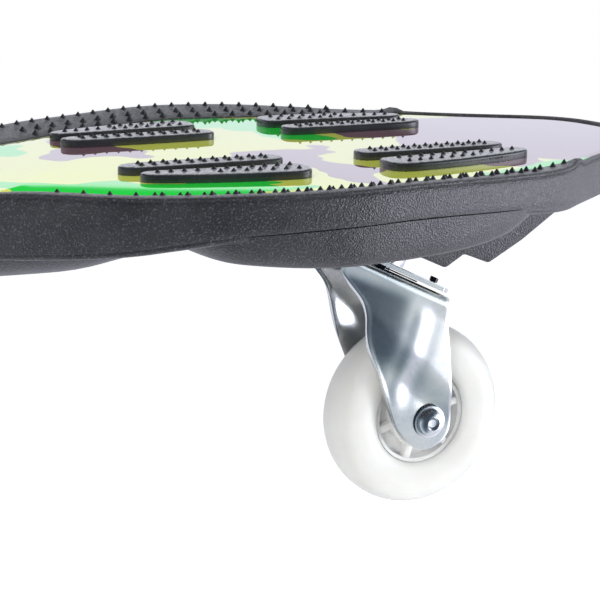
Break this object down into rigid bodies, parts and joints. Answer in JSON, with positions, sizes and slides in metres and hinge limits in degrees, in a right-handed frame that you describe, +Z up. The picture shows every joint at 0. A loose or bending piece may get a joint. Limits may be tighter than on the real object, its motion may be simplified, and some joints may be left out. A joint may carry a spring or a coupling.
{
  "type": "caster board",
  "caption": "Ride-on board of twin studded platforms joined by a sprung torsion neck, each platform carried on a leaning swivel caster with a white in-line wheel.",
  "frame": {"origin": "on the neck's axis, half way between the two platforms", "axes": "+X forward along the board, +Y to the side away from the reference camera, +Z up out of the deck"},
  "size_m": [0.858, 0.2252, 0.1661],
  "materials": {
    "black_plastic": "moulded, fine grain, satin",
    "plate_paint": "printed patches under a clear gloss coat",
    "zinc_steel": "bright zinc plate",
    "bright_steel": "bright zinc plate",
    "dark_steel": "black oxide",
    "white_tyre": "milky cast urethane",
    "white_core": "moulded white nylon",
    "black_rubber": "matt",
    "nylon": "natural",
    "tube_metal": "brushed"
  },
  "bodies": {
    "rear_platform": {"rear_deck_shell": "black_plastic", "rear_deck_plate": "plate_paint", "rear_lower_shell": "black_plastic", "rear_cover_screw_1": "dark_steel", "rear_cover_screw_2": "dark_steel", "rear_cover_screw_3": "dark_steel", "rear_cover_screw_4": "dark_steel", "rear_top_plate": "zinc_steel", "rear_plate_pin": "dark_steel", "rear_swivel_race": "dark_steel", "rear_collar": "bright_steel", "rear_king_bolt": "bright_steel", "neck_bush_rear": "nylon", "neck_seal_rear": "black_rubber", "neck_clamp_bolt_rear": "bright_steel", "torsion_block_rear": "bright_steel", "neck_tube": "tube_metal", "neck_sleeve": "black_plastic", "torsion_bar": "dark_steel"},
    "front_platform": {"front_deck_shell": "black_plastic", "front_deck_plate": "plate_paint", "front_lower_shell": "black_plastic", "front_cover_screw_1": "dark_steel", "front_cover_screw_2": "dark_steel", "front_cover_screw_3": "dark_steel", "front_cover_screw_4": "dark_steel", "front_top_plate": "zinc_steel", "front_plate_pin": "dark_steel", "front_swivel_race": "dark_steel", "front_collar": "bright_steel", "front_king_bolt": "bright_steel", "neck_bush_front": "nylon", "neck_seal_front": "black_rubber", "neck_clamp_bolt_front": "bright_steel", "torsion_block_front": "bright_steel"},
    "rear_caster": {"rear_fork": "zinc_steel", "rear_axle_bolt": "bright_steel", "rear_axle_nut": "bright_steel", "rear_axle_spacer_near": "bright_steel", "rear_axle_spacer_far": "bright_steel", "rear_inner_spacer": "bright_steel"},
    "front_caster": {"front_fork": "zinc_steel", "front_axle_bolt": "bright_steel", "front_axle_nut": "bright_steel", "front_axle_spacer_near": "bright_steel", "front_axle_spacer_far": "bright_steel", "front_inner_spacer": "bright_steel"},
    "rear_wheel": {"rear_bearing_near": "bright_steel", "rear_bearing_far": "bright_steel", "rear_wheel_core": "white_core", "rear_tyre": "white_tyre"},
    "front_wheel": {"front_bearing_near": "bright_steel", "front_bearing_far": "bright_steel", "front_wheel_core": "white_core", "front_tyre": "white_tyre"}
  },
  "joints": [
    {"name": "neck_twist", "type": "hinge", "parent": "rear_platform", "child": "front_platform", "pos_m": [0, 0, 0], "axis": [1, 0, 0], "range_deg": [-25, 25], "stiffness_Nm_per_rad": 20},
    {"name": "front_caster_swivel", "type": "hinge", "parent": "front_platform", "child": "front_caster", "pos_m": [0.3116, 0, -0.0304], "axis": [0.4384, 0, 0.8988], "continuous": true},
    {"name": "front_wheel_spin", "type": "hinge", "parent": "front_caster", "child": "front_wheel", "pos_m": [0.32817, 0, -0.09634], "axis": [0, 1, 0], "continuous": true},
    {"name": "rear_caster_swivel", "type": "hinge", "parent": "rear_platform", "child": "rear_caster", "pos_m": [-0.2184, 0, -0.0304], "axis": [0.4384, 0, 0.8988], "continuous": true},
    {"name": "rear_wheel_spin", "type": "hinge", "parent": "rear_caster", "child": "rear_wheel", "pos_m": [-0.20183, 0, -0.09634], "axis": [0, 1, 0], "continuous": true}
  ]
}
